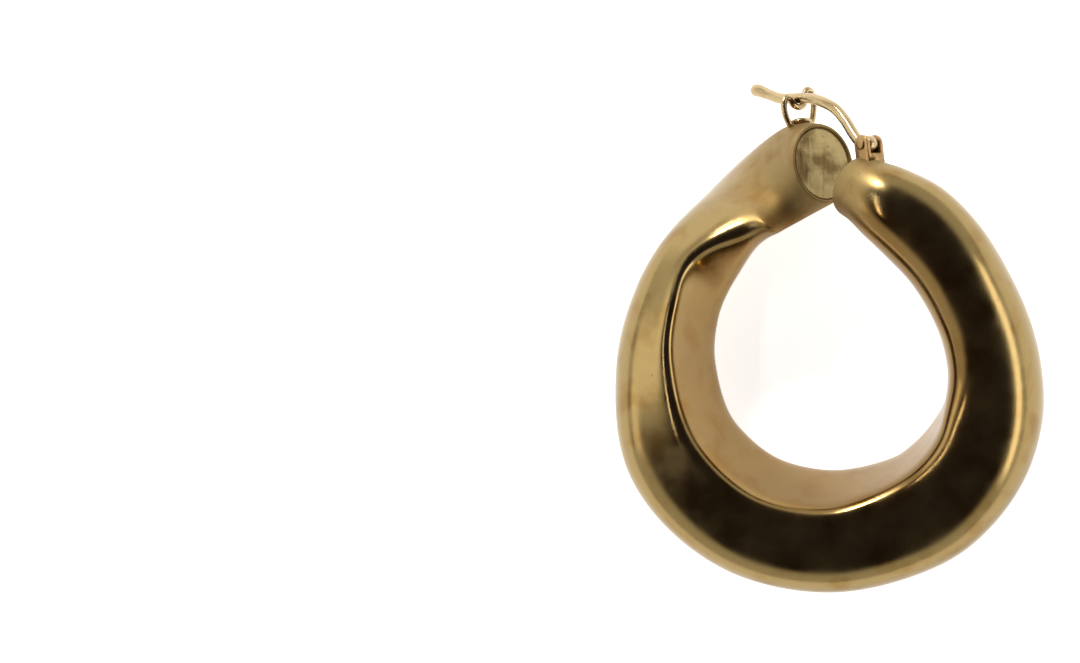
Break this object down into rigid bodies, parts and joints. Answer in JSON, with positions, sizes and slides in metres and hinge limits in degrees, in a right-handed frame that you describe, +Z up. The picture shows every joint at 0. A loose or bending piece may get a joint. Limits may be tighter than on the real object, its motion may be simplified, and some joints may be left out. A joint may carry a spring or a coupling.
{
  "type": "hoop earring",
  "caption": "Hollow twisted-section hoop earring with a hinged ear wire that lies in a wire catch behind the other tube end.",
  "frame": {"origin": "bottom centre of the bounding box, on the floor the earring lies on", "axes": "+Z up from the floor; +Y from the bottom of the worn hoop to its clasp; +X to the front side of the ring's opening as it lies"},
  "size_m": [0.033, 0.0398, 0.0138],
  "materials": {
    "hoop_gold": "mirror-polished yellow gold",
    "cap_gold": "satin yellow gold",
    "pin_gold": "polished yellow gold",
    "wire_gold": "polished yellow gold wire"
  },
  "bodies": {
    "hoop": {"hoop_body": "hoop_gold", "rear_end_cap": "cap_gold", "front_end_cap": "cap_gold", "hinge_pin": "pin_gold"},
    "clasp_wire": {"ear_wire": "wire_gold"}
  },
  "joints": [
    {"name": "ear_wire_hinge", "type": "hinge", "parent": "hoop", "child": "clasp_wire", "pos_m": [0.00328, 0.01407, 0.01031], "axis": [0.703, 0.0767, -0.7071], "range_deg": [0, 75]}
  ]
}
